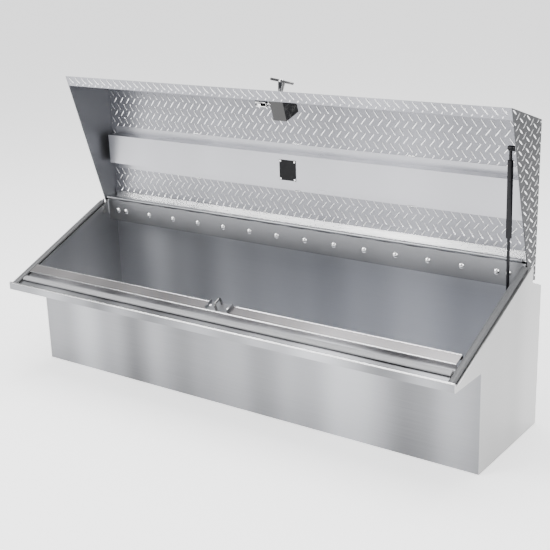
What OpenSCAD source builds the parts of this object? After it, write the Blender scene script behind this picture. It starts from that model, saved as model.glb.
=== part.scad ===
// Side-mount truck tool box: a folded aluminium tub that hangs inside the bed rail,
// with a sloping opening and a clamshell lid of tread plate on a piano hinge.
// Origin: centre of the tub's bottom face. +X along the box, -Y towards the rail, +Z up.
// The lid is drawn standing open.

/* [Body] */
// Overall length of the box
box_l = 1524; // [1200:2:1800]
// Depth of the tub that hangs in the truck bed
tub_d = 352; // [340:1:380]
// Height of the tub's back wall
back_h = 400; // [396:1:404]
// Height of the ledge that rests on the bed rail
ledge_h = 275; // [262:1:276]
// How far the ledge stands out in front of the tub
overhang = 142; // [136:1:148]
// Height of the front lip's hemmed top edge
lip_h = 297; // [294:1:299]
// Thickness of the folded sheet
sheet_t = 2; // [1.6:0.1:2.2]

/* [Rim] */
// Height of the rim plane at the front lip
rim_h = 284; // [282:1:286]
// Slope of the rim plane
rim_angle = 23; // [22.8:0.1:23.2]
// Width of the turned-in flange along each end
flange_w = 27; // [24:1:28]
// Distance of the brushed front band from the lip, along the slope
band_s = 69.5; // [68:0.5:71]
// Width of the brushed front band
band_w = 36; // [34:1:40]
// Height of the brushed front band over the rim plane
band_rise = 10; // [8:0.5:11]
// Height of the pressed bulb seal
seal_h = 6.5; // [5:0.1:6.6]
// Width of the bulb seal
seal_w = 22; // [18:1:23]

/* [Hinge] */
// Distance of the hinge pin from the back wall
hinge_in = 64; // [63:0.5:65]
// Height of the hinge pin
hinge_h = 478; // [477:0.5:480]
// How much shorter the piano hinge is than the box
hinge_short = 54; // [54:2:120]
// Diameter of the hinge pin
pin_d = 5; // [4:0.5:5.5]
// Spacing of the hinge bolts
bolt_pitch = 101.6; // [96:0.1:104]
// Length of one knuckle with its gap
knuckle_pitch = 49; // [42:1:60]

/* [Lid] */
// Height of the lid's top sheet over the hinge pin
lid_h = 55; // [54:1:58]
// Reach of the lid's top sheet in front of the hinge pin
lid_front = 360; // [356:1:364]
// Reach of the lid behind the hinge pin
lid_rear = 64.5; // [62:0.5:66]
// Distance of the lid's lower front corner from the hinge pin
lid_nose = 416; // [412:1:420]
// Width of the return flange under the lid's front
lid_return = 31; // [26:1:33]
// Fall of the top sheet towards the front when the lid is shut
lid_slope = 6; // [5.5:0.5:6.5]
// Gap between the rim plane and the shut lid's lower edge
lid_gap = 7; // [6.8:0.1:8]
// Inset of the lid's ends from the tub's ends
lid_inset = 14; // [13:0.5:15]

/* [Stiffener] */
// Width of the hat channel's web
hat_w = 92; // [80:1:100]
// Depth of the hat channel
hat_h = 40; // [30:1:44]
// Distance of the hat channel's middle from the hinge pin
hat_at = 162; // [150:1:175]

/* [Latch] */
// Place of the latch along the box
latch_x = 8; // [-40:1:40]
// Height of the T handle over the lid's lower front corner
handle_up = 97; // [95:1:100]
// Length of the T handle's bar
handle_l = 85; // [70:1:110]

/* [Strut] */
// Distance of the gas strut from the box's end
strut_inset = 52; // [50:1:57]
// Diameter of the strut's cylinder
strut_d = 15; // [14:0.5:18]

/* [Hidden] */

// Straight flat facets of a round surface
$fn = 48;

half_l = box_l / 2;
hinge_l = box_l - hinge_short;
strut_x = half_l - strut_inset;
front_y = -tub_d / 2;
back_y = tub_d / 2;
lip_y = front_y - overhang;
hinge_y = back_y - hinge_in;

// Rim plane
tan_rim = tan(rim_angle);
cos_rim = cos(rim_angle);
flange_edge = half_l - flange_w;
seal_x = half_l - lid_inset;
gutter_gap = 2;
gutter_s = 1.6 * sheet_t;
flange_drop = 16;
flange_taper = 20;
band_foot = 8;
bulb_wall = 2.2;
bulb_floor = 1.4;
seal_clear = 457;
front_seal_s = 45;
hem_gap = 4.6;

// Hinge
leaf_t = 2;
knuckle_r = 5;
leaf_y = 3;
pin_r = pin_d / 2;
pin_clear = 0.05;
knuckle_n = floor(hinge_l / knuckle_pitch);
knuckle_gap = 0.6;
leaf_low = 402;
riser_y = hinge_y + leaf_y + leaf_t + sheet_t;
riser_top = hinge_h - 9;
riser_l = box_l - 42;
riser_foot = 421.6;
riser_root = 6;
pocket_lap = 2.5;
bolt_z = 437;
bolt_r = 4;
bolt_hole_r = 4.2;
bolt_l = 15;
bolt_head_r = 9;
bolt_head_h = 4.8;
bolt_dome_r = 10.8;
washer_r = 8.7;
washer_t = 1.6;
nut_r = 7.33;
nut_h = 6.7;
tongue_h = 8;
tongue_lap = 0.5;
bolt_end = 40;
bolt_rows = 2 * floor((half_l - bolt_end) / bolt_pitch);
bolt_extra = 0.33;
bolt_x = concat(
    [-(bolt_rows / 2 - 0.5 + bolt_extra) * bolt_pitch],
    [for (i = [0:bolt_rows - 1]) (i - bolt_rows / 2 + 0.5) * bolt_pitch],
    [(bolt_rows / 2 - 0.5 + bolt_extra) * bolt_pitch]);

// Lid, in its own frame: hinge pin at the origin, top sheet level, nose towards -Y
lid_t = 2;
lid_half = half_l - lid_inset;
pin_over_rim = (hinge_h - rim_h) * cos_rim - (hinge_y - lip_y) * sin(rim_angle);
edge_drop = pin_over_rim - lid_gap;
edge_angle = rim_angle - lid_slope;
rear_foot_y = 55.5;
nose = [-lid_nose, edge_z(-lid_nose)];
brow = [-lid_front, lid_h];
return_end = [-lid_nose + lid_return, edge_z(-lid_nose + lid_return)];
rear_top = [lid_rear, lid_h];
rear_foot = [rear_foot_y, edge_z(rear_foot_y)];
face_angle = atan2(brow[1] - nose[1], brow[0] - nose[0]);
under_top = lid_h - lid_t;
lid_open_turn = -90;
lid_leaf_gap = 3;
angle_toe = 8.5;
angle_reach = 11;
hat_flange = 26;
hat_end = 25;
weld_r = 4;
weld_l = 22;

// Height of the lid's lower edge plane at a place in the lid's frame
function edge_z(y) = y * tan(edge_angle) - edge_drop / cos(edge_angle);

// Height of the rim plane at a place along Y
function rim_z(y) = rim_h + (y - lip_y) * tan_rim;

// Rim frame (s along the slope, h square to it) of a point on the shut lid's face,
// given its height up the face and its depth behind the face
face_in_rim = face_angle + lid_slope - rim_angle;
nose_r = norm(nose);
nose_turn = atan2(nose[1], nose[0]) + lid_slope;
nose_yz = [hinge_y + nose_r * cos(nose_turn), hinge_h + nose_r * sin(nose_turn)];
nose_s = (nose_yz[0] - lip_y) * cos_rim + (nose_yz[1] - rim_h) * sin(rim_angle);
nose_h = (nose_yz[1] - rim_h) * cos_rim - (nose_yz[0] - lip_y) * sin(rim_angle);
function face_to_rim(up, depth) = [
    nose_s + up * cos(face_in_rim) + depth * sin(face_in_rim),
    nose_h + up * sin(face_in_rim) - depth * cos(face_in_rim)];

// Striker and latch, in the rim frame
loop_r = 3.5;
loop_front = 75;
loop_back = 101;
loop_top = 34.5;
striker_t = 3;
striker_l = 78;
striker_w = 32;
screw_at = 30;
ear_h = 10;
ear_t = 2.5;
loop_bend = 6;
screw_r = 2.5;
screw_hole_r = 2.6;
screw_head_r = 5;
screw_head_h = 3;
screw_dome_r = 6;
screw_l = 8;
jaw_front = [81, 83];
jaw_back = [93, 95];
jaw_low = 22;
jaw_high = 61;
jaw_left = -48;
jaw_right = 50;
slot_half = 5;
slot_top = 34;
rotor_at = [-17, 52];
rotor_s = [83.6, 92.4];
arc_in = 28.5;
arc_out = 35;
arc_from = -130;
arc_to = -92;
pawl_at = [24, 52];
pawl_s = [84, 92];
case_left = 10;
case_right = 54;
case_t = 1.5;
case_low = 24;
case_back = 135;
case_high = 86;
bracket_t = 2;
bracket_depth = lid_t + bracket_t;
arm_t = 3;

// T handle, its collar and lock
gasket_r = 21;
gasket_t = 1;
collar_r = 22;
collar_h = 2.5;
cone_h = 4;
barrel_r = 13;
barrel_l = 16;
barrel_nut_r = 19;
barrel_nut_h = 8;
spindle_r = 6;
spindle_in = 24;
bar_z = 40;
bar_tilt = 7;
bar_tip_r = 4;
hub_r = 12;
hub_h = 7;
cam_depth = 28;
cam_t = 4;
cam_l = 20;
cam_r = 9;
cam_tip_r = 5;
latch_pin_r = 3;
pin_end = 99;
pin_head_r = 5;
coil_s = 95.2;
coil_r = 5.6;
coil_h = 3.4;
wire = 1.2;
plate_x = 113;
plate_y = 84;
plate_low = 66;
spacer_r = 4;

// Blank plate
label_at = [-37, -hat_at - 30];
label_l = 58;
label_w = 61;
label_t = 1;
label_edge = 4;
label_rivet_r = 1.5;
label_head_r = 2.8;
label_head_h = 0.8;
label_rivet_x = [label_edge, label_l - label_edge];
label_rivet_y = [label_edge, label_w - label_edge];

// Strut, in the lid's frame and in the tub's frame
strut_top = [-301, -43];
strut_foot = [79, 375];
strut_head = [hinge_y + strut_top[1], hinge_h - strut_top[0]];
strut_run = strut_foot - strut_head;
strut_l = norm(strut_run);
strut_turn = atan2(strut_run[0], -strut_run[1]);
neck_l = 31;
tube_l = 202;
rod_r = 4;
eye_r = 8;
socket_w = 10;
eye_w = 10;
stud_r = 4;
stud_gap = 0.5;
socket_r = 6.8;
neck_r = 4.2;
tube_wall = 1.2;
gland_h = 9;
piston_h = 8;
rod_in = 22;
foot_plate = [3, 52, 56];
foot_low = -30;
foot_rivets = [-22, 18];
foot_rivet_r = 3;
foot_collar_r = 9;
foot_stud_r = 6;
foot_stud_l = 8;
foot_face = strut_x + eye_w / 2 + stud_gap;
foot_plate_x = half_l - sheet_t - foot_plate[0];
head_plate = [2.5, 44, 32];
head_rivets = [-15, 15];
head_rivet_r = 2.5;
head_collar_r = 7;
head_collar_x = strut_x + 7.5;
head_plate_x = lid_half - lid_t - head_plate[0];
rivet_head_h = 2.5;

function unit(v) = v / norm(v);
function left_of(v) = [-v[1], v[0]];
function fold(p, i, t) =
    let (n = len(p),
         a = unit(i > 0 ? p[i] - p[i - 1] : p[1] - p[0]),
         b = unit(i < n - 1 ? p[i + 1] - p[i] : p[n - 1] - p[n - 2]),
         na = left_of(a),
         nb = left_of(b))
    p[i] + t * (na + nb) / (1 + na * nb);

// Outline of a folded sheet: a path along its outer face, thickened to the path's left
function sheet_outline(p, t) = concat(p, [for (i = [len(p) - 1:-1:0]) fold(p, i, t)]);

// Extrudes an outline given in (y, z) along X, from x0 to x1
module along_x(x0, x1) {
    translate([x0, 0, 0]) rotate([90, 0, 90]) linear_extrude(height = x1 - x0) children();
}

module rim_frame() {
    translate([0, lip_y, rim_h]) rotate([rim_angle, 0, 0]) children();
}

module lid_pose() {
    translate([0, hinge_y, hinge_h]) rotate([lid_open_turn, 0, 0]) children();
}

// Frame on the lid's front face: Y up the face from the nose, Z out of it
module face_frame() {
    lid_pose() translate([latch_x, nose[0], nose[1]]) rotate([face_angle, 0, 0]) children();
}

// The rim frame as it lies on the shut lid, carried along to the open lid
module latch_frame() {
    lid_pose() rotate([-lid_slope, 0, 0])
        translate([latch_x, lip_y - hinge_y, rim_h - hinge_h]) rotate([rim_angle, 0, 0]) children();
}

// Shape given in (x, h) of the latch frame, thick along s from s[0] to s[1]
module across_s(s) {
    translate([0, s[1], 0]) rotate([90, 0, 0]) linear_extrude(height = s[1] - s[0]) children();
}

module strut_frame() {
    translate([strut_x, strut_head[0], strut_head[1]]) rotate([strut_turn, 0, 0]) children();
}

module rod_x(x0, x1, r) {
    translate([x0, 0, 0]) rotate([0, 90, 0]) cylinder(r = r, h = x1 - x0);
}

// Skirt, ledge, tub walls, bottom, back and hinge riser folded from one sheet
module tub_wrap() {
    color("silver") {
        skirt_path = [
            [lip_y, lip_h], [lip_y, ledge_h], [front_y, ledge_h], [front_y, 0],
            [back_y, 0], [back_y, back_h], [riser_y, riser_foot]];
        riser_path = [
            [riser_y, riser_foot] + riser_root * unit([back_y - riser_y, back_h - riser_foot]),
            [riser_y, riser_foot], [riser_y, riser_top]];
        along_x(-half_l + sheet_t, half_l - sheet_t) polygon(sheet_outline(skirt_path, sheet_t));
        difference() {
            along_x(-riser_l / 2, riser_l / 2) polygon(sheet_outline(riser_path, sheet_t));
            bolt_holes();
        }
        along_x(-half_l + sheet_t, half_l - sheet_t)
            polygon([[lip_y + sheet_t, rim_h - sheet_t], [lip_y + 2 * sheet_t, rim_h - sheet_t],
                     [lip_y + 2 * sheet_t, lip_h], [lip_y + sheet_t, lip_h]]);
        rim_frame() along_x(-flange_edge + gutter_gap, flange_edge - gutter_gap)
            polygon([[gutter_s, -sheet_t], [band_s, -sheet_t], [band_s, 0], [gutter_s, 0]]);
    }
}

module bolt_holes() {
    for (x = bolt_x)
        translate([x, riser_y + 1, bolt_z]) rotate([90, 0, 0]) cylinder(r = bolt_hole_r, h = 20);
}

// Flat end sheet with its turned-in rim flange and the pocket beside the hinge
module end_panel() {
    pocket_y = lip_y + seal_clear * cos_rim + sheet_t;
    slope_rise = (riser_foot - back_h) / (back_y - riser_y);
    pocket_foot = riser_foot + (riser_y - pocket_y) * slope_rise;
    near_y = riser_y - 1;
    along_x(half_l - sheet_t, half_l)
        polygon([
            [front_y, 0], [back_y, 0], [back_y, back_h], [riser_y, riser_foot],
            [riser_y, riser_top], [lip_y + 2 * sheet_t, rim_z(lip_y + 2 * sheet_t)],
            [lip_y + 2 * sheet_t, lip_h], [lip_y, lip_h], [lip_y, ledge_h], [front_y, ledge_h]]);
    rim_frame() {
        along_x(flange_edge, half_l - sheet_t)
            polygon([[hem_gap, -sheet_t], [seal_clear, -sheet_t], [seal_clear, 0], [hem_gap, 0]]);
        along_x(flange_edge, flange_edge + sheet_t)
            polygon([[band_s + band_w + 1, -flange_drop], [seal_clear - flange_taper, -flange_drop],
                     [seal_clear, -sheet_t], [band_s + band_w + 1, -sheet_t]]);
    }
    along_x(riser_l / 2, half_l - sheet_t) {
        polygon([[pocket_y, pocket_foot - pocket_lap], [pocket_y, rim_z(pocket_y) - sheet_t],
                 [pocket_y - sheet_t, rim_z(pocket_y) - sheet_t],
                 [pocket_y - sheet_t, pocket_foot - pocket_lap]]);
        polygon([[near_y, riser_foot], [pocket_y - sheet_t, pocket_foot],
                 [pocket_y - sheet_t, pocket_foot - pocket_lap], [near_y, riser_foot - pocket_lap]]);
    }
    along_x(riser_l / 2, riser_l / 2 + sheet_t)
        polygon([[pocket_y - 1, pocket_foot - pocket_lap], [near_y, riser_foot - pocket_lap],
                 [near_y, riser_top], [pocket_y - 1, rim_z(pocket_y) - sheet_t]]);
}

module end_panel_left() {
    color("lightgray") mirror([1, 0, 0]) end_panel();
}

module end_panel_right() {
    color("lightgray") end_panel();
}

// Brushed channel along the inside of the front gutter
module front_band() {
    path = [
        [band_s + band_w, -band_foot], [band_s + band_w, band_rise],
        [band_s, band_rise], [band_s, -sheet_t]];
    color("gainsboro") difference() {
        rim_frame() along_x(-flange_edge + gutter_gap, flange_edge - gutter_gap)
            polygon(sheet_outline(path, sheet_t));
        rim_frame() for (side = [-1, 1])
            translate([latch_x + side * screw_at, (loop_front + loop_back) / 2, 0])
                cylinder(r = screw_hole_r, h = band_rise + 1);
    }
}

// Hollow D-shaped bulb, flat side down
module bulb_outline() {
    r = (seal_w * seal_w / 4 + seal_h * seal_h) / (2 * seal_h);
    difference() {
        intersection() {
            translate([0, seal_h - r]) circle(r = r, $fn = 96);
            translate([-seal_w / 2, 0]) square([seal_w, seal_h]);
        }
        intersection() {
            translate([0, seal_h - r]) circle(r = r - bulb_wall, $fn = 96);
            translate([-seal_w / 2, bulb_floor]) square([seal_w, seal_h]);
        }
    }
}

module side_seal() {
    rim_frame() translate([seal_x - 1, seal_clear - 4, 0]) rotate([90, 0, 0])
        linear_extrude(height = seal_clear - 4 - 2 * hem_gap) bulb_outline();
}

module seal_left() {
    color("dimgray") mirror([1, 0, 0]) side_seal();
}

module seal_front() {
    color("dimgray") rim_frame() translate([0, front_seal_s, 0])
        along_x(-flange_edge + gutter_gap, flange_edge - gutter_gap) bulb_outline();
}

module seal_right() {
    color("dimgray") side_seal();
}

// One knuckle of the piano hinge with its bore, centred on the pin
module knuckle(x0) {
    difference() {
        union() {
            rod_x(x0, x0 + knuckle_pitch - knuckle_gap, knuckle_r);
            children();
        }
        rod_x(x0 - 1, x0 + knuckle_pitch + 1, pin_r + pin_clear);
    }
}

function knuckle_x(i) = (i - knuckle_n / 2) * knuckle_pitch;

// Tall leaf bolted through the riser
module hinge_leaf_tub() {
    color("silver") difference() {
        translate([0, hinge_y, hinge_h]) {
            for (i = [0:2:knuckle_n - 1])
                knuckle(knuckle_x(i))
                    translate([knuckle_x(i), leaf_y, -tongue_h])
                        cube([knuckle_pitch - knuckle_gap, leaf_t, tongue_h]);
            translate([-hinge_l / 2, leaf_y, leaf_low - hinge_h])
                cube([hinge_l, leaf_t, hinge_h - tongue_h + tongue_lap - leaf_low]);
        }
        bolt_holes();
    }
}

// Leaf welded under the lid's hinge angle
module hinge_leaf_lid() {
    color("silver") lid_pose() {
        for (i = [1:2:knuckle_n - 1])
            knuckle(knuckle_x(i))
                translate([knuckle_x(i), leaf_y, 0])
                    cube([knuckle_pitch - knuckle_gap, leaf_t, tongue_h]);
        translate([-hinge_l / 2, leaf_y, tongue_h - tongue_lap])
            cube([hinge_l, leaf_t, under_top - lid_leaf_gap - tongue_h + tongue_lap]);
    }
}

module hinge_pin() {
    color("gray") translate([0, hinge_y, hinge_h])
        rod_x(-knuckle_n * knuckle_pitch / 2, knuckle_n * knuckle_pitch / 2, pin_r);
}

// Round-headed bolts through the leaf and the riser
module hinge_bolts() {
    leaf_face = hinge_y + leaf_y;
    color("whitesmoke") for (x = bolt_x)
        translate([x, leaf_face, bolt_z]) rotate([90, 0, 0]) {
            intersection() {
                cylinder(r = bolt_head_r, h = bolt_head_h);
                translate([0, 0, bolt_head_h - bolt_dome_r]) sphere(r = bolt_dome_r, $fn = 32);
            }
            translate([0, 0, -bolt_l]) cylinder(r = bolt_r, h = bolt_l);
        }
}

module hinge_washers() {
    color("lightgray") for (x = bolt_x)
        translate([x, riser_y + washer_t, bolt_z]) rotate([90, 0, 0]) difference() {
            cylinder(r = washer_r, h = washer_t);
            translate([0, 0, -1]) cylinder(r = bolt_r + 0.05, h = 4);
        }
}

module hinge_nuts() {
    color("lightgray") for (x = bolt_x)
        translate([x, riser_y + washer_t + nut_h, bolt_z]) rotate([90, 0, 0]) difference() {
            cylinder(r = nut_r, h = nut_h, $fn = 6);
            translate([0, 0, -1]) cylinder(r = bolt_r + 0.02, h = 8);
        }
}

// Plate under the striker loop
module striker_plate() {
    mid_s = (loop_front + loop_back) / 2;
    color("gray") rim_frame() translate([latch_x, mid_s, band_rise]) difference() {
        union() {
            translate([-striker_l / 2, -striker_w / 2, 0]) cube([striker_l, striker_w, striker_t]);
            for (side = [-1, 1])
                translate([side * striker_l / 2 - (side + 1) * ear_t / 2, -striker_w / 2, 0])
                    cube([ear_t, striker_w, ear_h]);
        }
        for (side = [-1, 1])
            translate([side * screw_at, 0, -1]) cylinder(r = screw_hole_r, h = striker_t + 3);
    }
}

// Bent rod that the latch hooks
module striker_loop() {
    color("darkgray") rim_frame() translate([latch_x, 0, 0]) {
        for (s = [loop_front, loop_back])
            translate([0, s, band_rise + striker_t])
                cylinder(r = loop_r, h = loop_top - loop_bend - band_rise - striker_t);
        for (end = [[loop_front + loop_bend, 90], [loop_back - loop_bend, 0]])
            translate([0, end[0], loop_top - loop_bend]) rotate([90, 0, 90]) rotate([0, 0, end[1]])
                rotate_extrude(angle = 90) translate([loop_bend, 0]) circle(r = loop_r);
        translate([0, loop_front + loop_bend, loop_top]) rotate([-90, 0, 0])
            cylinder(r = loop_r, h = loop_back - loop_front - 2 * loop_bend);
    }
}

module striker_screws() {
    color("whitesmoke") rim_frame() for (side = [-1, 1])
        translate([latch_x + side * screw_at, (loop_front + loop_back) / 2, 0]) {
            translate([0, 0, band_rise + striker_t]) intersection() {
                cylinder(r = screw_head_r, h = screw_head_h);
                translate([0, 0, screw_head_h - screw_dome_r]) sphere(r = screw_dome_r, $fn = 32);
            }
            translate([0, 0, band_rise - screw_l]) cylinder(r = screw_r, h = screw_l + striker_t);
        }
}

// Plate and stand-off that carry the strut's lower stud
module strut_bracket_tub() {
    color("dimgray") translate([0, strut_foot[0], strut_foot[1]]) {
        difference() {
            translate([foot_plate_x, -foot_plate[1] / 2, foot_low]) cube(foot_plate);
            for (z = foot_rivets) translate([0, 0, z])
                rod_x(foot_plate_x - 1, half_l + 1, foot_rivet_r + 0.1);
        }
        rod_x(foot_face + foot_stud_l, foot_plate_x, foot_collar_r);
        rod_x(foot_face, foot_face + foot_stud_l, foot_stud_r);
    }
}

module strut_bracket_tub_rivets() {
    color("whitesmoke") translate([0, strut_foot[0], strut_foot[1]]) for (z = foot_rivets)
        translate([0, 0, z]) {
            rod_x(foot_plate_x, half_l - sheet_t, foot_rivet_r);
            rod_x(foot_plate_x - rivet_head_h, foot_plate_x, foot_rivet_r + 2);
        }
}

// Top, front face, return flange and rear flange of tread plate
module lid_skin() {
    color("gainsboro") difference() {
        lid_pose() along_x(-lid_half + lid_t, lid_half - lid_t)
            polygon(sheet_outline([rear_foot, rear_top, brow, nose, return_end], lid_t));
        face_frame() translate([0, handle_up, -lid_t - 4]) cylinder(r = barrel_r + 0.3, h = 12);
    }
}

module lid_end() {
    lid_pose() along_x(lid_half - lid_t, lid_half)
        polygon([rear_foot, rear_top, brow, nose]);
}

module lid_end_left() {
    color("gainsboro") mirror([1, 0, 0]) lid_end();
}

module lid_end_right() {
    color("gainsboro") lid_end();
}

// Angle that joins the hinge leaf to the underside of the top sheet
module lid_hinge_angle() {
    path = [[leaf_y, angle_toe], [leaf_y, under_top], [-angle_reach, under_top]];
    color("white") lid_pose() along_x(-riser_l / 2, riser_l / 2) polygon(sheet_outline(path, lid_t));
}

// Hat channel under the top sheet
module lid_channel() {
    rear = -hat_at + hat_w / 2 - lid_t;
    fore = -hat_at - hat_w / 2 + lid_t;
    web = under_top - hat_h + lid_t;
    path = [
        [rear + hat_flange, under_top], [rear, under_top], [rear, web],
        [fore, web], [fore, under_top], [fore - hat_flange, under_top]];
    color("silver") lid_pose() along_x(-lid_half + hat_end, lid_half - hat_end)
        polygon(sheet_outline(path, lid_t));
}

// Short fillet welds along the channel's flanges
module channel_welds() {
    rear = -hat_at + hat_w / 2 - lid_t + hat_flange;
    fore = -hat_at - hat_w / 2 + lid_t - hat_flange;
    color("silver") lid_pose() for (x = [-half_l / 2, 0, half_l / 2], side = [0, 1])
        along_x(x - weld_l / 2, x + weld_l / 2) translate([side == 0 ? rear : fore, under_top])
            intersection() {
                circle(r = weld_r);
                translate([side == 0 ? 0 : -weld_r, -weld_r]) square(weld_r);
            }
}

module label_pose() {
    lid_pose() translate([label_at[0], label_at[1], under_top - hat_h - label_t]) children();
}

// Blank plate on the channel's web
module label_plate() {
    color("black") label_pose() difference() {
        cube([label_l, label_w, label_t]);
        for (x = label_rivet_x, y = label_rivet_y)
            translate([x, y, -1]) cylinder(r = label_rivet_r + 0.1, h = 3);
    }
}

module label_rivets() {
    color("silver") label_pose()
        for (x = label_rivet_x, y = label_rivet_y) translate([x, y, 0]) {
            cylinder(r = label_rivet_r, h = label_t);
            translate([0, 0, -label_head_h]) cylinder(r = label_head_r, h = label_head_h);
        }
}

// Plate and stand-off on the lid's right end, with the strut's upper stud
module strut_bracket_lid() {
    color("dimgray") lid_pose() translate([0, strut_top[0], strut_top[1]]) {
        difference() {
            translate([head_plate_x, -head_plate[1] / 2, -head_plate[2] / 2]) cube(head_plate);
            for (y = head_rivets) translate([0, y, 0])
                rod_x(head_plate_x - 1, lid_half + 1, head_rivet_r + 0.1);
        }
        rod_x(head_collar_x, head_plate_x, head_collar_r);
        rod_x(strut_x - socket_w / 2 - stud_gap, head_collar_x, stud_r - 0.05);
        rod_x(strut_x - socket_w / 2 - stud_gap - 2, strut_x - socket_w / 2 - stud_gap, stud_r + 1);
    }
}

module strut_bracket_lid_rivets() {
    color("whitesmoke") lid_pose() translate([0, strut_top[0], strut_top[1]]) for (y = head_rivets)
        translate([0, y, 0]) {
            rod_x(head_plate_x, lid_half - lid_t, head_rivet_r);
            rod_x(head_plate_x - 2, head_plate_x, head_rivet_r + 1.7);
        }
}

// Cylinder with the socket that turns on the lid's stud
module strut_tube() {
    bore_r = strut_d / 2 - tube_wall;
    color("black") strut_frame() difference() {
        union() {
            rod_x(-socket_w / 2, socket_w / 2, socket_r);
            translate([0, 0, -neck_l]) cylinder(r = neck_r, h = neck_l - stud_r);
            translate([0, 0, -neck_l - tube_l]) cylinder(r = strut_d / 2, h = tube_l);
        }
        rod_x(-10, 10, stud_r);
        translate([0, 0, -neck_l - tube_l - 1]) cylinder(r = bore_r, h = tube_l - 3);
    }
}

// Gland that guides the rod out of the cylinder
module strut_gland() {
    color("black") strut_frame() translate([0, 0, -neck_l - tube_l]) difference() {
        cylinder(r = strut_d / 2 - tube_wall - 0.05, h = gland_h);
        translate([0, 0, -1]) cylinder(r = rod_r + 0.06, h = gland_h + 3);
    }
}

module strut_rod() {
    rod_top = neck_l + tube_l - rod_in;
    color("black") strut_frame() {
        translate([0, 0, -strut_l + eye_r - 1]) cylinder(r = rod_r, h = strut_l - eye_r - rod_top);
        translate([0, 0, -rod_top - 1]) cylinder(r = strut_d / 2 - tube_wall - 0.1, h = piston_h);
    }
}

// Eye on the rod's end, beside the tub's stud
module strut_eye() {
    color("black") strut_frame() translate([0, 0, -strut_l]) difference() {
        rod_x(-eye_w / 2, eye_w / 2, eye_r);
        rod_x(-eye_w, eye_w, stud_r);
        translate([0, 0, eye_r - 1]) cylinder(r = rod_r, h = 4);
    }
}

module handle_gasket() {
    color("dimgray") face_frame() translate([0, handle_up, 0]) difference() {
        cylinder(r = gasket_r, h = gasket_t);
        translate([0, 0, -1]) cylinder(r = barrel_r + 0.1, h = 3);
    }
}

// Round collar that guides the T handle's spindle through the face
module handle_escutcheon() {
    color("silver") face_frame() translate([0, handle_up, 0]) difference() {
        union() {
            translate([0, 0, gasket_t]) cylinder(r = collar_r, h = collar_h);
            translate([0, 0, gasket_t + collar_h]) cylinder(r1 = 16, r2 = 11, h = cone_h);
            translate([0, 0, -barrel_l]) cylinder(r = barrel_r, h = barrel_l + gasket_t);
        }
        translate([0, 0, -barrel_l - 1]) cylinder(r = spindle_r + 0.06, h = barrel_l + 14);
    }
}

module handle_nut() {
    color("lightgray") face_frame() translate([0, handle_up, -lid_t - barrel_nut_h]) difference() {
        cylinder(r = barrel_nut_r, h = barrel_nut_h, $fn = 6);
        translate([0, 0, -1]) cylinder(r = barrel_r + 0.02, h = barrel_nut_h + 2);
    }
}

// T-shaped pull with its spindle; one arm sits a little higher than the other
module t_handle() {
    color("silver") face_frame() translate([0, handle_up, 0]) difference() {
        union() {
            translate([0, 0, -spindle_in]) cylinder(r = spindle_r, h = spindle_in + bar_z);
            translate([0, 0, 10]) cylinder(r1 = 7, r2 = 11, h = bar_z - 12);
            translate([0, 0, bar_z]) rotate([0, bar_tilt, 0]) hull() {
                for (side = [-1, 1])
                    translate([side * (handle_l / 2 - 5), 0, 0]) sphere(r = bar_tip_r, $fn = 24);
                cylinder(r = hub_r, h = hub_h, center = true, $fn = 32);
            }
        }
        translate([0, 0, bar_z - 12]) cylinder(r = spindle_r + 0.05, h = 24);
    }
}

// Key cylinder in the middle of the handle
module lock_core() {
    color("gainsboro") face_frame() translate([0, handle_up, 28.4]) difference() {
        cylinder(r = spindle_r, h = 17.2);
        translate([-0.8, -4, 13]) cube([1.6, 8, 6]);
    }
}

// Lever on the spindle's inner end that lifts the pawl
module handle_cam() {
    color("gray") face_frame() translate([0, handle_up, -cam_depth]) difference() {
        hull() {
            cylinder(r = cam_r, h = cam_t, $fn = 32);
            translate([cam_l, 0, 0]) cylinder(r = cam_tip_r, h = cam_t, $fn = 32);
        }
        translate([0, 0, -1]) cylinder(r = screw_hole_r, h = cam_t + 2);
    }
}

module cam_screw() {
    color("whitesmoke") face_frame() translate([0, handle_up, -cam_depth]) {
        cylinder(r = screw_r, h = cam_t);
        translate([0, 0, -screw_head_h]) cylinder(r = 5.5, h = screw_head_h, $fn = 6);
    }
}

// Plate against the inside of the face, with one arm down to the jaw plates
module latch_bracket() {
    color("lightgray") face_frame() difference() {
        union() {
            translate([jaw_left - arm_t, plate_low, -bracket_depth]) cube([plate_x, plate_y, bracket_t]);
            translate([jaw_left - arm_t, 60, -26]) cube([arm_t, 18, 24]);
        }
        translate([0, handle_up, -20]) cylinder(r = 20, h = 22);
        for (x = [-40, 50], y = [74, 140])
            translate([x, y, -10]) cylinder(r = screw_hole_r, h = 12);
    }
}

module latch_screws() {
    color("whitesmoke") face_frame() for (x = [-40, 50], y = [140])
        translate([x, y, -bracket_depth]) {
            cylinder(r = screw_r, h = bracket_t);
            translate([0, 0, -screw_head_h]) cylinder(r = screw_head_r, h = screw_head_h);
        }
}

// Two side plates with the mouth for the striker loop
module latch_plates() {
    color("silver") latch_frame() for (s = [jaw_front, jaw_back]) across_s(s) difference() {
        polygon([[jaw_left + 8, jaw_low], [case_left - 0.8, jaw_low],
                 [case_left - 0.8, case_low + case_t + 0.3],
                 [jaw_right, case_low + case_t + 0.3], [jaw_right, jaw_high - 6],
                 [jaw_right - 12, jaw_high], [jaw_left + 10, jaw_high], [jaw_left, jaw_high - 12],
                 [jaw_left, jaw_low + 10]]);
        translate([-slot_half, jaw_low - 1]) square([2 * slot_half, slot_top - jaw_low + 1]);
        translate([0, slot_top]) circle(r = slot_half);
        translate(rotor_at) circle(r = latch_pin_r + 0.02);
        translate(pawl_at) circle(r = latch_pin_r + 0.02);
    }
}

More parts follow.
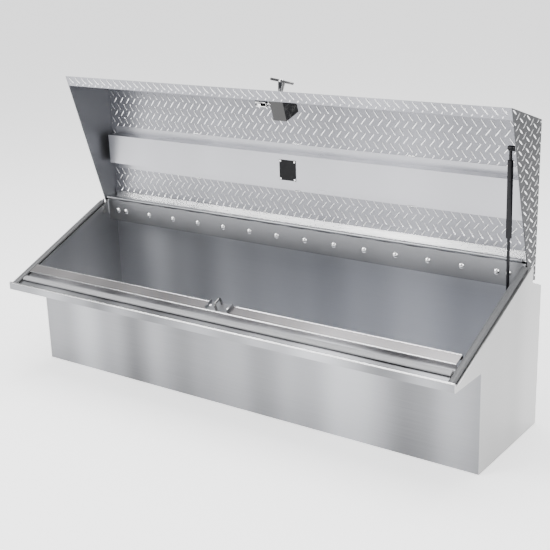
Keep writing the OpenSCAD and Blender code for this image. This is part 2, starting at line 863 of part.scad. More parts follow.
// Spacers that hold the side plates apart
module latch_spacers() {
    color("gray") latch_frame() for (p = [[-40, 54], [42, 32], [42, 54]])
        translate([p[0], jaw_back[0], p[1]]) rotate([90, 0, 0])
            cylinder(r = spacer_r, h = jaw_back[0] - jaw_front[1]);
}

// Dark pressed case over the pawl side
module latch_case() {
    low_up = 63;
    p = [
        face_to_rim(low_up, bracket_depth + 0.3), [face_to_rim(low_up, bracket_depth + 0.3)[0], case_low],
        [case_back, case_low], [case_back, case_high],
        face_to_rim(98, bracket_depth + 0.3)];
    inset = [
        p[0] + [case_t + 0.3, 0], p[1] + [case_t + 0.3, case_t], p[2] + [-case_t, case_t],
        p[3] + [-case_t, -case_t], p[4] + [2, -case_t]];
    color("dimgray") difference() {
        latch_frame() along_x(case_left, case_right) polygon(p);
        latch_frame() along_x(case_left - 1, case_right - case_t) polygon(inset);
        face_frame() translate([0, handle_up, -18]) cylinder(r = 20.5, h = 18);
    }
}

// Hook that turns under the striker loop
module latch_rotor() {
    color("white") latch_frame() translate([rotor_at[0], 0, rotor_at[1]]) across_s(rotor_s)
        difference() {
            union() {
                circle(r = 10);
                intersection() {
                    difference() {
                        circle(r = arc_out);
                        circle(r = arc_in);
                    }
                    polygon([[0, 0], for (a = [arc_from, (arc_from + arc_to) / 2, arc_to])
                        60 * [cos(a), sin(a)]]);
                }
                intersection() {
                    circle(r = arc_out);
                    polygon([[0, 0], for (a = [arc_from, arc_from + 17]) 60 * [cos(a), sin(a)]]);
                }
            }
            circle(r = latch_pin_r + 0.06);
        }
}

module pin_s(at, r, s0, s1, head) {
    translate([at[0], s1, at[1]]) rotate([90, 0, 0]) {
        cylinder(r = r, h = s1 - s0);
        translate([0, 0, s1 - s0]) cylinder(r = head, h = 1.5);
    }
}

module rotor_pin() {
    color("gainsboro") latch_frame() pin_s(rotor_at, latch_pin_r, jaw_front[0], pin_end, pin_head_r);
}

module coil() {
    translate([0, coil_s, 0]) rotate([-90, 0, 0]) difference() {
        cylinder(r = coil_r, h = coil_h);
        translate([0, 0, -1]) cylinder(r = coil_r - 1.6, h = coil_h + 2.6);
    }
}

// Coil round the pin, with a leg on a spacer
module rotor_spring() {
    color("gray") latch_frame() translate([rotor_at[0], 0, rotor_at[1]]) {
        coil();
        translate([-24, coil_s + wire / 2, 4]) cube([20.2, wire, wire]);
    }
}

// Catch that holds the rotor shut
module latch_pawl() {
    color("lightgray") latch_frame() translate([pawl_at[0], 0, pawl_at[1]])
        across_s(pawl_s) difference() {
            union() {
                circle(r = 8);
                polygon([[0, 7], [-22, 5], [-26, -2], [-22, -5], [0, -7]]);
                polygon([[-5, 4], [5, 4], [4, 13], [-4, 13]]);
            }
            circle(r = latch_pin_r + 0.06);
        }
}

module pawl_pin() {
    color("gainsboro") latch_frame() pin_s(pawl_at, latch_pin_r, jaw_front[0], pin_end, pin_head_r);
}

module pawl_spring() {
    color("gray") latch_frame() translate([pawl_at[0], 0, pawl_at[1]]) {
        coil();
        translate([4, coil_s + wire / 2, -5]) cube([20, wire, wire]);
    }
}

tub_wrap();
end_panel_left();
end_panel_right();
front_band();
seal_left();
seal_front();
seal_right();
hinge_leaf_tub();
hinge_leaf_lid();
hinge_pin();
hinge_bolts();
hinge_washers();
hinge_nuts();
striker_plate();
striker_loop();
striker_screws();
strut_bracket_tub();
strut_bracket_tub_rivets();
lid_skin();
lid_end_left();
lid_end_right();
lid_hinge_angle();
lid_channel();
channel_welds();
label_plate();
label_rivets();
strut_bracket_lid();
strut_bracket_lid_rivets();
strut_tube();
strut_gland();
strut_rod();
strut_eye();
handle_gasket();
handle_escutcheon();
handle_nut();
t_handle();
handle_cam();
cam_screw();
lock_core();
latch_bracket();
latch_screws();
latch_plates();
latch_spacers();
latch_case();
latch_rotor();
rotor_pin();
rotor_spring();
latch_pawl();
pawl_pin();
pawl_spring();
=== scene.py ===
import bpy
import math
from mathutils import Matrix, Vector


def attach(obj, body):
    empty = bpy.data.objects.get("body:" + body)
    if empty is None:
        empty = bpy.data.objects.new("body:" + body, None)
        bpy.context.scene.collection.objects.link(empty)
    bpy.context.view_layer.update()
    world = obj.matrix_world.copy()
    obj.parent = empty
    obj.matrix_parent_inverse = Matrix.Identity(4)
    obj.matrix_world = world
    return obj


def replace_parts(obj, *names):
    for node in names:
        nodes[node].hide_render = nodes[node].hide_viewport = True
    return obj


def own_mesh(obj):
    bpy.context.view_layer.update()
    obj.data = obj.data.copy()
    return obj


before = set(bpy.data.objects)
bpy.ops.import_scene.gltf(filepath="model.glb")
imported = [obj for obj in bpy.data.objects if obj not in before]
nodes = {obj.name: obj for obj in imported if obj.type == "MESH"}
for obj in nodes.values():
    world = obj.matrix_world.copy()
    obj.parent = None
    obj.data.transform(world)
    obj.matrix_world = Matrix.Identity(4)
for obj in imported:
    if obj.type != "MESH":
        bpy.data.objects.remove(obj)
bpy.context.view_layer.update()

# Camera
# A 72 mm lens stands in front of the box's right half and looks down on it.
# It is turned to the box's left and rolled by under two degrees.
yaw, pitch, roll = 0.62905, 0.30885, -0.03244
ahead = Vector((-math.sin(yaw) * math.cos(pitch), math.cos(yaw) * math.cos(pitch), -math.sin(pitch)))
level = Vector((math.cos(yaw), math.sin(yaw), 0))
above = level.cross(ahead)
side = math.cos(roll) * level + math.sin(roll) * above
top = -math.sin(roll) * level + math.cos(roll) * above
bpy.ops.object.camera_add(location=(1.8039, -2.4454, 1.3227))
camera = bpy.context.object
camera.rotation_euler = Matrix((side, top, -ahead)).transposed().to_euler()
camera.data.sensor_width = 36
camera.data.lens = 1094.969 / 550 * 36
camera.data.clip_end = 200
bpy.context.scene.camera = camera

# Studio
# A pale floor under a bright overhead room that darkens towards the horizon, so
# that the bare metal has something light and something dark to reflect.
bpy.ops.mesh.primitive_plane_add(size=120, location=(0, 0, -0.0005))
floor = bpy.context.object
floor.name = "floor"
floor_paint = bpy.data.materials.new("floor_paint")
floor_paint.use_nodes = True
floor_bsdf = floor_paint.node_tree.nodes["Principled BSDF"]
floor_bsdf.inputs["Base Color"].default_value = (0.95, 0.95, 0.95, 1)
floor_bsdf.inputs["Emission Color"].default_value = (1, 1, 1, 1)
floor_bsdf.inputs["Emission Strength"].default_value = 0.9
floor_bsdf.inputs["Roughness"].default_value = 0.9
floor.data.materials.append(floor_paint)

room = bpy.data.worlds.new("room")
bpy.context.scene.world = room
room.use_nodes = True
rn, rl = room.node_tree.nodes, room.node_tree.links
way = rn.new("ShaderNodeTexCoord")
split = rn.new("ShaderNodeSeparateXYZ")
climb = rn.new("ShaderNodeMapRange")
climb.inputs["From Min"].default_value = -1
climb.inputs["From Max"].default_value = 1
shade = rn.new("ShaderNodeValToRGB")
shade.color_ramp.elements[0].position = 0.36
shade.color_ramp.elements[0].color = (0.90, 0.90, 0.91, 1)
shade.color_ramp.elements[1].position = 0.85
shade.color_ramp.elements[1].color = (1, 1, 1, 1)
dusk = shade.color_ramp.elements.new(0.54)
dusk.color = (0.13, 0.14, 0.17, 1)
rl.new(way.outputs["Generated"], split.inputs[0])
rl.new(split.outputs["Z"], climb.inputs["Value"])
rl.new(climb.outputs[0], shade.inputs[0])
rl.new(shade.outputs[0], rn["Background"].inputs["Color"])
rn["Background"].inputs["Strength"].default_value = 1.15

for name, spot, aim, size, power in (
        ("key", (-2.2, -3.0, 3.2), (0, 0, 0.4), 2.4, 230),
        ("fill", (3.4, -1.4, 2.2), (0.3, 0, 0.5), 1.8, 90),
        ("overhead", (0, 0.4, 3.4), (0, 0, 0.3), 2.8, 150)):
    bpy.ops.object.light_add(type="AREA", location=spot)
    lamp = bpy.context.object
    lamp.name = name
    lamp.data.size = size
    lamp.data.energy = power
    lamp.rotation_euler = (Vector(aim) - Vector(spot)).to_track_quat("-Z", "Y").to_euler()

# Tub
# Skirt, ledge, walls, bottom and riser folded from one 2 mm aluminium sheet, with
# a flat sheet welded to each end. The sheet is bare from the mill, and lightly
# brushed by handling.
def rolled_grain():
    """Colour, roughness and height of rolled sheet: long fine lines over broad clouds."""
    group = bpy.data.node_groups.new("rolled_grain", "ShaderNodeTree")
    for label, kind, value in (("Point", "NodeSocketVector", None), ("Light", "NodeSocketFloat", 0.78),
                               ("Spread", "NodeSocketFloat", 0.12), ("Rough", "NodeSocketFloat", 0.3)):
        socket = group.interface.new_socket(label, in_out="INPUT", socket_type=kind)
        if value is not None:
            socket.default_value = value
    group.interface.new_socket("Color", in_out="OUTPUT", socket_type="NodeSocketColor")
    group.interface.new_socket("Roughness", in_out="OUTPUT", socket_type="NodeSocketFloat")
    group.interface.new_socket("Height", in_out="OUTPUT", socket_type="NodeSocketFloat")
    n, l = group.nodes, group.links
    given, out = n.new("NodeGroupInput"), n.new("NodeGroupOutput")
    lines_at = n.new("ShaderNodeMapping")
    lines_at.inputs["Scale"].default_value = (6, 900, 900)
    lines = n.new("ShaderNodeTexNoise")
    lines.inputs["Scale"].default_value = 1
    lines.inputs["Detail"].default_value = 2
    clouds_at = n.new("ShaderNodeMapping")
    clouds_at.inputs["Scale"].default_value = (2.6, 0.20, 0.12)
    clouds = n.new("ShaderNodeTexNoise")
    clouds.inputs["Scale"].default_value = 1.6
    clouds.inputs["Detail"].default_value = 1
    for mapping, noise in ((lines_at, lines), (clouds_at, clouds)):
        l.new(given.outputs["Point"], mapping.inputs["Vector"])
        l.new(mapping.outputs[0], noise.inputs["Vector"])
    mixed = n.new("ShaderNodeMath")
    mixed.operation = "MULTIPLY_ADD"
    mixed.inputs[1].default_value = 0.06
    l.new(lines.outputs[0], mixed.inputs[0])
    l.new(clouds.outputs[0], mixed.inputs[2])
    centred = n.new("ShaderNodeMath")
    centred.operation = "SUBTRACT"
    centred.inputs[1].default_value = 0.53
    l.new(mixed.outputs[0], centred.inputs[0])
    tone = n.new("ShaderNodeMath")
    tone.operation = "MULTIPLY_ADD"
    l.new(centred.outputs[0], tone.inputs[0])
    l.new(given.outputs["Spread"], tone.inputs[1])
    l.new(given.outputs["Light"], tone.inputs[2])
    colour = n.new("ShaderNodeCombineColor")
    for i in range(3):
        l.new(tone.outputs[0], colour.inputs[i])
    rough = n.new("ShaderNodeMath")
    rough.operation = "MULTIPLY_ADD"
    rough.inputs[1].default_value = 0.18
    l.new(centred.outputs[0], rough.inputs[0])
    l.new(given.outputs["Rough"], rough.inputs[2])
    l.new(colour.outputs[0], out.inputs["Color"])
    l.new(rough.outputs[0], out.inputs["Roughness"])
    l.new(lines.outputs[0], out.inputs["Height"])
    return group

grain = rolled_grain()

def metal(name, light, spread, rough, bump=0.05, turn=(0, 0, 0), outer=None, tint=(1, 1, 1)):
    """A bare metal made from the rolled grain.

    outer is (axis, distance, tone): faces further out than that distance take that tone, a painted shade
    darker than the rest of the same sheet.
    """
    m = bpy.data.materials.new(name)
    m.use_nodes = True
    n, l = m.node_tree.nodes, m.node_tree.links
    bsdf = n["Principled BSDF"]
    bsdf.inputs["Metallic"].default_value = 1
    where = n.new("ShaderNodeTexCoord")
    turned = n.new("ShaderNodeMapping")
    turned.inputs["Rotation"].default_value = turn
    look = n.new("ShaderNodeGroup")
    look.node_tree = grain
    look.inputs["Light"].default_value = light
    look.inputs["Spread"].default_value = spread
    look.inputs["Rough"].default_value = rough
    press = n.new("ShaderNodeBump")
    press.inputs["Strength"].default_value = bump
    press.inputs["Distance"].default_value = 0.0004
    l.new(where.outputs["Object"], turned.inputs["Vector"])
    l.new(turned.outputs[0], look.inputs["Point"])
    # Painted shade: faces beyond the given distance get a darker tone than the rest of the same sheet.
    if outer is not None:
        parts = n.new("ShaderNodeSeparateXYZ")
        reach = n.new("ShaderNodeMath")
        reach.operation = "ABSOLUTE"
        painted_shade_tone = n.new("ShaderNodeMapRange")
        painted_shade_tone.inputs["From Min"].default_value = outer[1]
        painted_shade_tone.inputs["From Max"].default_value = outer[1] + 0.0007
        painted_shade_tone.inputs["To Min"].default_value = light
        painted_shade_tone.inputs["To Max"].default_value = outer[2]
        l.new(where.outputs["Object"], parts.inputs[0])
        l.new(parts.outputs[outer[0]], reach.inputs[0])
        l.new(reach.outputs[0], painted_shade_tone.inputs["Value"])
        l.new(painted_shade_tone.outputs[0], look.inputs["Light"])
    cast = n.new("ShaderNodeMix")
    cast.data_type = "RGBA"
    cast.blend_type = "MULTIPLY"
    cast.inputs["Factor"].default_value = 1
    cast.inputs["B"].default_value = (*tint, 1)
    l.new(look.outputs["Color"], cast.inputs["A"])
    l.new(cast.outputs["Result"], bsdf.inputs["Base Color"])
    l.new(look.outputs["Roughness"], bsdf.inputs["Roughness"])
    l.new(look.outputs["Height"], press.inputs["Height"])
    l.new(press.outputs[0], bsdf.inputs["Normal"])
    return m

def wear(material, *names):
    """Gives CAD nodes their finish."""
    for name in names:
        mesh = nodes[name].data
        mesh.materials.clear()
        mesh.materials.append(material)

cool = (0.97, 0.985, 1.03)
# The tub sheet is painted far darker on its faces beyond 0.1751 along Y, towards the front wall, than
# elsewhere: painted shade.
mill_sheet = metal("mill_sheet", 0.66, 0.9, 0.40, 0.015, outer=("Y", 0.1751, 0.27), tint=cool)
end_sheet = metal("end_sheet", 0.42, 0.5, 0.34, 0.02, (0, 0, math.pi / 2))
wear(mill_sheet, "tub_wrap")
wear(end_sheet, "end_panel_left", "end_panel_right")

# Front band
# A separate folded strip along the gutter's inner side, brushed along its length
# and clamped by the striker's screws.
brushed_band = metal("brushed_band", 0.26, 0.3, 0.34, 0.08, tint=(1.03, 0.99, 1.0))
wear(brushed_band, "front_band")

# Bulb seals
# Hollow extruded rubber along the gutter and both ends, stuck down by its foot.
# The shut lid presses each one to about two thirds of its height.
rubber = bpy.data.materials.new("seal_rubber")
rubber.use_nodes = True
rubber_n, rubber_l = rubber.node_tree.nodes, rubber.node_tree.links
rubber_bsdf = rubber_n["Principled BSDF"]
rubber_at = rubber_n.new("ShaderNodeTexCoord")
rubber_noise = rubber_n.new("ShaderNodeTexNoise")
rubber_noise.inputs["Scale"].default_value = 240
rubber_tone = rubber_n.new("ShaderNodeValToRGB")
rubber_tone.color_ramp.elements[0].color = (0.045, 0.046, 0.048, 1)
rubber_tone.color_ramp.elements[1].color = (0.110, 0.112, 0.116, 1)
rubber_l.new(rubber_at.outputs["Object"], rubber_noise.inputs["Vector"])
rubber_l.new(rubber_noise.outputs[0], rubber_tone.inputs[0])
rubber_l.new(rubber_tone.outputs[0], rubber_bsdf.inputs["Base Color"])
rubber_bsdf.inputs["Roughness"].default_value = 0.42

# The front seal is the same rubber with its colour raised to light grey, a painted reflection of the
# grazing light along the gutter.
rubber_painted_reflection = rubber.copy()
rubber_painted_reflection.name = "seal_rubber_painted_reflection"
for stop, tone in zip(rubber_painted_reflection.node_tree.nodes["Color Ramp"].color_ramp.elements, (0.20, 0.30)):
    stop.color = (tone, tone, tone * 1.03, 1)

rim = math.radians(23)
rim_frame = Matrix.Translation((0, -0.318, 0.284)) @ Matrix.Rotation(rim, 4, "X")

def clear_selection():
    """Nothing is left selected or open for editing."""
    if bpy.context.object and bpy.context.object.mode != "OBJECT":
        bpy.ops.object.mode_set(mode="OBJECT")
    bpy.ops.object.select_all(action="DESELECT")

def settle(obj, matrix):
    """Moves the place into the mesh and leaves the object at the origin."""
    obj.data.transform(matrix @ obj.matrix_world)
    obj.matrix_world = Matrix.Identity(4)

def bulb(name, length, turn, place, high, skin):
    """A ribbed hollow tube with a flat foot, lying in the rim frame."""
    clear_selection()
    bpy.ops.mesh.primitive_cylinder_add(vertices=32, radius=0.0066, depth=length,
                                        end_fill_type="NOTHING")
    tube = bpy.context.object
    tube.name = name
    bpy.ops.object.mode_set(mode="EDIT")
    bpy.ops.mesh.select_all(action="SELECT")
    bpy.ops.mesh.subdivide(number_cuts=1)
    bpy.ops.object.mode_set(mode="OBJECT")
    for v in tube.data.vertices:
        angle = math.atan2(v.co.y, v.co.x)
        rib = 1.0 + 0.035 * math.cos(12 * angle)
        v.co.x *= 1.45 * rib
        v.co.y = max((v.co.y * rib + 0.0063) * high, 0.0)
    tube.rotation_euler = turn
    bpy.context.view_layer.update()
    wall = tube.modifiers.new("wall", "SOLIDIFY")
    wall.thickness = 0.0019
    wall.offset = -1
    bpy.ops.object.modifier_apply(modifier="wall")
    settle(tube, rim_frame @ Matrix.Translation(place))
    bpy.ops.object.shade_smooth_by_angle(angle=math.radians(50))
    tube.data.materials.append(skin)
    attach(tube, "tub")
    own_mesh(tube)
    return tube

along_slope = (math.pi / 2, 0, math.pi)
along_box = (math.pi / 2, 0, math.pi / 2)
side_x, side_mid, side_l = 0.747, 0.231, 0.443
left_bulb = bulb("left_bulb_seal", side_l, along_slope, (-side_x, side_mid, 0), 0.80, rubber)
right_bulb = bulb("right_bulb_seal", side_l, along_slope, (side_x, side_mid, 0), 0.80, rubber)
front_bulb = bulb("front_bulb_seal", 1.466, along_box, (0, 0.045, 0), 0.62, rubber_painted_reflection)
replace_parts(left_bulb, "seal_left")
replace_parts(right_bulb, "seal_right")
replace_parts(front_bulb, "seal_front")

# Rounded folds
# Where the lip is hemmed and the band is folded, the sheet's outer bend is round and catches the light
# as a thin bright line. Its colour is also set far brighter than the sheet it is folded from, a painted
# highlight.
fold_painted_highlight = metal("fold_painted_highlight", 0.96, 0.04, 0.18, 0.01)

def fold(name, length, place, radius):
    """A round bend along the box, part sunk in its sheet."""
    clear_selection()
    bpy.ops.mesh.primitive_cylinder_add(vertices=14, radius=radius, depth=length,
                                        rotation=(0, math.pi / 2, 0))
    bend = bpy.context.object
    bend.name = name
    bpy.ops.object.mode_set(mode="EDIT")
    bpy.ops.mesh.select_all(action="SELECT")
    bpy.ops.mesh.bevel(offset=radius * 0.3, segments=1, affect="EDGES")
    bpy.ops.object.mode_set(mode="OBJECT")
    bpy.context.view_layer.update()
    settle(bend, Matrix.Translation(place))
    bpy.ops.object.shade_smooth_by_angle(angle=math.radians(50))
    bend.data.materials.append(fold_painted_highlight)
    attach(bend, "tub")

band_l, band_h, band_r = 1.464, 0.0090, 0.0019
fold("lip_fold", 1.519, (0, -0.316, 0.2968), 0.0024)
fold("band_front_fold", band_l, rim_frame @ Vector((0, 0.0708, band_h)), band_r)
fold("band_back_fold", band_l, rim_frame @ Vector((0, 0.1042, band_h)), band_r)

# Hinge and its bolts
# A satin steel piano hinge. Its tall leaf is bolted through the riser and its
# short leaf is welded under the lid's hinge angle.
hinge_sheet = metal("hinge_sheet", 0.25, 0.15, 0.34, 0.02, tint=cool)
bright_zinc = metal("bright_zinc", 0.82, 0.15, 0.14, 0.01)
wear(hinge_sheet, "hinge_leaf_tub", "hinge_leaf_lid")
wear(bright_zinc, "hinge_pin", "hinge_bolts", "hinge_washers", "hinge_nuts")

# Striker
# A bent polished rod on a plated plate, screwed through the brushed band, which
# the lid's hook closes under.
polished = metal("polished_steel", 0.84, 0.08, 0.10, 0.01)
dark_chrome = metal("dark_chrome", 0.20, 0.10, 0.16, 0.01)
case_chrome = metal("case_chrome", 0.055, 0.04, 0.13, 0.01)
wear(hinge_sheet, "striker_plate")
wear(bright_zinc, "striker_screws")
wear(dark_chrome, "striker_loop")

# Lid sheet
# Tread plate folded to the top, front, return and rear flanges, with a plate at
# each end. Rows of raised bars, rolled into the sheet, lean one way and the other.
lid_sheet = metal("lid_sheet", 0.27, 0.25, 0.34, 0.02, tint=(0.97, 0.98, 1.06))
# The lid end plates' outer faces, beyond 0.7468 along X, are painted nearly black, far darker than their
# inner faces: painted shade.
lid_end_sheet_painted_shade = metal("lid_end_sheet_painted_shade", 0.22, 0.25, 0.46, 0.02, outer=("X", 0.7468, 0.07),
                      tint=(0.96, 0.98, 1.04))
# The raised bars catch real light, and their colour is also set near white, far brighter than the sheet
# they are rolled from: a painted highlight.
bar_painted_highlight = metal("bar_painted_highlight", 0.95, 0.05, 0.16, 0.02)
wear(lid_sheet, "lid_skin")
wear(lid_end_sheet_painted_shade, "lid_end_left", "lid_end_right")

# In the lid's frame y runs from its front flange back to its hinge and z towards
# its top face. The lid's open edge slopes by 17 degrees and clears the rim by 7 mm.
lid_open = Matrix.Translation((0, 0.112, 0.478)) @ Matrix.Rotation(-math.pi / 2, 4, "X")
nose_y, foot_y, lid_top = -0.416, 0.0555, 0.055
latch_y, latch_z = -0.430, -0.194
slope = math.radians(17)
edge_tan = math.tan(slope)
edge_drop = (-latch_z * math.cos(rim) + latch_y * math.sin(rim) - 0.007) / math.cos(slope)
nose_z = nose_y * edge_tan - edge_drop
foot_z = foot_y * edge_tan - edge_drop
back_z = -0.385 * edge_tan - edge_drop

def tread(name, outline, origin, across, up, height):
    """A field of lens-shaped bars, cut to the outline of one face of the sheet."""
    clear_selection()
    pitch, rise = 0.027, 0.043
    lean, long, wide = 54, 0.0135, 0.0024
    xs = [p[0] for p in outline]
    ys = [p[1] for p in outline]
    columns = int((max(xs) - min(xs)) / pitch) + 3
    rows = int((max(ys) - min(ys)) / rise) + 3
    sets = []
    for turn, shift in ((lean, 0), (-lean, 0.5)):
        bpy.ops.mesh.primitive_uv_sphere_add(segments=8, ring_count=4, radius=1)
        bar = bpy.context.object
        bar.scale = (long, wide, height)
        bar.rotation_euler = (0, 0, math.radians(turn))
        bar.location = (min(xs) + (shift - 0.75) * pitch, min(ys) + (shift - 0.75) * rise, 0)
        bpy.context.view_layer.update()
        settle(bar, Matrix.Identity(4))
        for axis, count in ((0, columns), (1, rows)):
            step = bar.modifiers.new("step", "ARRAY")
            step.count = count
            step.use_relative_offset = False
            step.use_constant_offset = True
            step.constant_offset_displace = (pitch, 0, 0) if axis == 0 else (0, rise, 0)
            bpy.ops.object.modifier_apply(modifier=step.name)
        sets.append(bar)
    clear_selection()
    for bar in sets:
        bar.select_set(True)
    bpy.context.view_layer.objects.active = sets[0]
    bpy.ops.object.join()
    field = bpy.context.object
    field.name = name
    bpy.ops.object.mode_set(mode="EDIT")
    middle = Vector((sum(xs) / len(xs), sum(ys) / len(ys)))
    for i, start in enumerate(outline):
        end = outline[(i + 1) % len(outline)]
        run = Vector(end) - Vector(start)
        out = Vector((run.y, -run.x)).normalized()
        if out.dot(middle - Vector(start)) > 0:
            out = -out
        bpy.ops.mesh.select_all(action="SELECT")
        bpy.ops.mesh.bisect(plane_co=(start[0], start[1], 0), plane_no=(out.x, out.y, 0),
                            use_fill=True, clear_outer=True)
    bpy.ops.object.mode_set(mode="OBJECT")
    across, up = Vector(across).normalized(), Vector(up).normalized()
    lie = Matrix((across, up, across.cross(up))).transposed().to_4x4()
    settle(field, lid_open @ Matrix.Translation(origin) @ lie)
    bpy.ops.object.shade_smooth_by_angle(angle=math.radians(60))
    field.data.materials.append(bar_painted_highlight)
    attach(field, "lid")
    return field

def strip(half, low, high):
    """A rectangle centred along the box, for the tread's outline."""
    return [(-half, low), (half, low), (half, high), (-half, high)]

# Half lengths: outside, inside the end sheets, and on the return flange, whose bars
# stop short of the side seals. The end sheets' outer faces are at end_x.
out_half, in_half, return_half, end_x = 0.745, 0.739, 0.735, 0.748
bar_h = 0.0012
face_up = (0, 0.056, lid_top - nose_z)
face_run = math.hypot(face_up[1], face_up[2])
return_up = (0, 0.031, back_z - nose_z)
rear_up = (0, 0.009, lid_top - foot_z)
rear_run = math.hypot(rear_up[1], rear_up[2])
tread("bars_top_outside", strip(out_half, -0.356, 0.061), (0, 0, lid_top), (1, 0, 0), (0, 1, 0), bar_h)
tread("bars_top_inside", strip(in_half, -0.350, -0.014), (0, 0, lid_top - 0.002), (1, 0, 0), (0, 1, 0),
      0.0009)
tread("bars_front_outside", strip(out_half, 0.004, face_run - 0.004), (0, nose_y, nose_z), (1, 0, 0),
      face_up, bar_h)
tread("bars_return", strip(return_half, 0.002, 0.029), (0, nose_y, nose_z), (1, 0, 0), return_up, 0.0014)
tread("bars_rear", strip(out_half, 0.002, rear_run - 0.003), (0, foot_y, foot_z), (1, 0, 0), rear_up,
      0.0010)
end_outline = [(0.052, foot_z + 0.004), (0.061, 0.051), (-0.357, 0.051), (-0.411, nose_z + 0.005)]
tread("bars_right_end", end_outline, (end_x, 0, 0), (0, 1, 0), (0, 0, 1), bar_h)
tread("bars_left_end", end_outline, (-end_x, 0, 0), (0, 1, 0), (0, 0, 1), bar_h)

# Hinge angle and hat channel
# Both are folded from plain sheet. The channel stiffens the lid and is welded to
# it by short fillets at three places on each flange.
plain_sheet = metal("plain_sheet", 0.44, 0.25, 0.30, 0.02, tint=(0.98, 0.985, 1.04))
# The hinge angle is the same plain sheet with its colour raised to near white, a painted highlight along
# its top edge.
angle_painted_highlight = metal("angle_edge_painted_highlight", 0.93, 0.10, 0.22, 0.03)
wear(plain_sheet, "lid_channel")
wear(angle_painted_highlight, "lid_hinge_angle")

def weld(name, x, y):
    """A short fillet of overlapping ripples against the channel's flange."""
    clear_selection()
    ripples = []
    start, step, flange_z = x - 0.0095, 0.0027, 0.0525
    for k in range(8):
        bpy.ops.mesh.primitive_uv_sphere_add(segments=12, ring_count=6, radius=1,
                                             location=(start + k * step, y, flange_z))
        drop = bpy.context.object
        drop.scale = (0.0026, 0.0032, 0.0028)
        drop.rotation_euler = (0, math.radians(16), 0)
        ripples.append(drop)
    for drop in ripples:
        drop.select_set(True)
    bpy.context.view_layer.objects.active = ripples[0]
    bpy.ops.object.join()
    bead = bpy.context.object
    bead.name = name
    settle(bead, lid_open)
    fuse = bead.modifiers.new("fuse", "REMESH")
    fuse.mode = "VOXEL"
    fuse.voxel_size = 0.0006
    bpy.ops.object.modifier_apply(modifier="fuse")
    bpy.ops.object.shade_smooth()
    bead.data.materials.append(bright_zinc)
    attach(bead, "lid")
    return bead

beads = []
for i, x in enumerate((-0.381, 0.0, 0.381)):
    for j, y in enumerate((-0.0912, -0.2328)):
        beads.append(weld("weld_%d_%d" % (i, j), x, y))
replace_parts(beads[0], "channel_welds")

# Blank plate
# A thin satin plate riveted to the channel. It carries no lettering.
plate_black = bpy.data.materials.new("plate_black")
plate_black.use_nodes = True
plate_n, plate_l = plate_black.node_tree.nodes, plate_black.node_tree.links
plate_at = plate_n.new("ShaderNodeTexCoord")
plate_noise = plate_n.new("ShaderNodeTexNoise")
plate_noise.inputs["Scale"].default_value = 60
plate_tone = plate_n.new("ShaderNodeValToRGB")
plate_tone.color_ramp.elements[0].color = (0.004, 0.004, 0.005, 1)
plate_tone.color_ramp.elements[1].color = (0.012, 0.012, 0.013, 1)
plate_l.new(plate_at.outputs["Object"], plate_noise.inputs["Vector"])
plate_l.new(plate_noise.outputs[0], plate_tone.inputs[0])
plate_l.new(plate_tone.outputs[0], plate_n["Principled BSDF"].inputs["Base Color"])
plate_n["Principled BSDF"].inputs["Roughness"].default_value = 0.5
plate_n["Principled BSDF"].inputs["Specular IOR Level"].default_value = 0.15
wear(plate_black, "label_plate")
wear(bright_zinc, "label_rivets")

# Gas strut
# A black enamelled cylinder and a dark rod between studs on the lid's and the
# tub's right ends. Each stud stands on a black steel bracket.
enamel = bpy.data.materials.new("black_enamel")
enamel.use_nodes = True
enamel_n, enamel_l = enamel.node_tree.nodes, enamel.node_tree.links
enamel_at = enamel_n.new("ShaderNodeTexCoord")
enamel_noise = enamel_n.new("ShaderNodeTexNoise")
enamel_noise.inputs["Scale"].default_value = 90
enamel_tone = enamel_n.new("ShaderNodeMapRange")
enamel_tone.inputs["To Min"].default_value = 0.22
enamel_tone.inputs["To Max"].default_value = 0.38
enamel_l.new(enamel_at.outputs["Object"], enamel_noise.inputs["Vector"])
enamel_l.new(enamel_noise.outputs[0], enamel_tone.inputs["Value"])
enamel_l.new(enamel_tone.outputs[0], enamel_n["Principled BSDF"].inputs["Roughness"])
enamel_n["Principled BSDF"].inputs["Base Color"].default_value = (0.006, 0.006, 0.008, 1)
enamel_n["Principled BSDF"].inputs["Specular IOR Level"].default_value = 0.2
wear(enamel, "strut_bracket_tub", "strut_bracket_lid", "strut_tube", "strut_gland", "strut_rod",
     "strut_eye")
wear(bright_zinc, "strut_bracket_tub_rivets", "strut_bracket_lid_rivets")

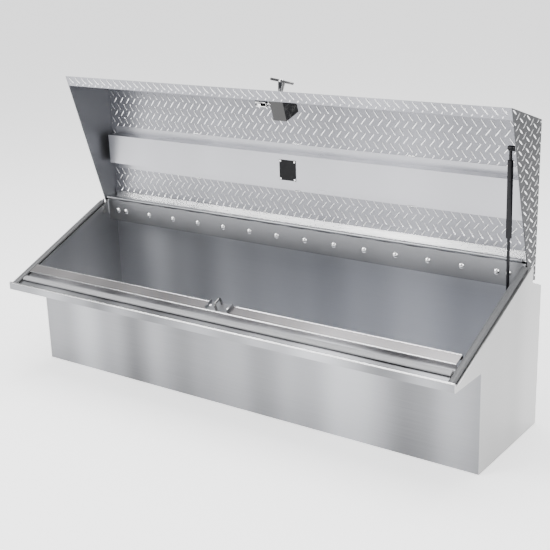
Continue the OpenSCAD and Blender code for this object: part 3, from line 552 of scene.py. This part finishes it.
# T handle, lock and latch
# A plated pull turns in a collar through the lid's face. Behind it are a cam, a
# pawl and a hook between two plated side plates, part covered by a dark case.
wear(case_chrome, "latch_case")
wear(dark_chrome, "t_handle")
wear(polished, "handle_escutcheon", "lock_core", "latch_plates", "latch_rotor")
wear(bright_zinc, "handle_nut", "handle_cam", "cam_screw", "latch_bracket", "latch_screws",
     "latch_spacers", "rotor_pin", "rotor_spring", "latch_pawl", "pawl_pin", "pawl_spring")
wear(rubber, "handle_gasket")

# Latch springs
# Four close turns of plated wire round each pin, outside the side plates, with
# one straight leg.
latch_frame = (lid_open @ Matrix.Rotation(math.radians(-6), 4, "X")
               @ Matrix.Translation((0.008, latch_y, latch_z)) @ Matrix.Rotation(rim, 4, "X"))
wire_r = 0.00045
first_turn, last_turn = 0.0957, 0.0984

def coil(name, x, h, leg_from, leg_to, leg_h):
    """Stacked turns of wire on a pin, and the leg that leaves the last one."""
    clear_selection()
    turns = []
    for k in range(4):
        bpy.ops.mesh.primitive_torus_add(major_segments=28, minor_segments=8, major_radius=0.0048,
                                         minor_radius=wire_r, rotation=(math.pi / 2, 0, 0),
                                         location=(x, first_turn + k * 2 * wire_r, h))
        turns.append(bpy.context.object)
    bpy.ops.mesh.primitive_cylinder_add(vertices=10, radius=wire_r, depth=leg_to - leg_from,
                                        rotation=(0, math.pi / 2, 0),
                                        location=((leg_from + leg_to) / 2, last_turn, leg_h))
    turns.append(bpy.context.object)
    bpy.ops.object.select_all(action="DESELECT")
    for turn in turns:
        turn.select_set(True)
    bpy.context.view_layer.objects.active = turns[0]
    bpy.ops.object.join()
    wire = bpy.context.object
    wire.name = name
    bpy.context.view_layer.update()
    settle(wire, latch_frame)
    bpy.ops.object.shade_smooth()
    wire.data.materials.append(bright_zinc)
    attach(wire, "lid")
    return wire

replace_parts(coil("rotor_coil", -0.017, 0.052, -0.041, -0.017, 0.0568), "rotor_spring")
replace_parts(coil("pawl_coil", 0.024, 0.052, 0.024, 0.048, 0.0472), "pawl_spring")
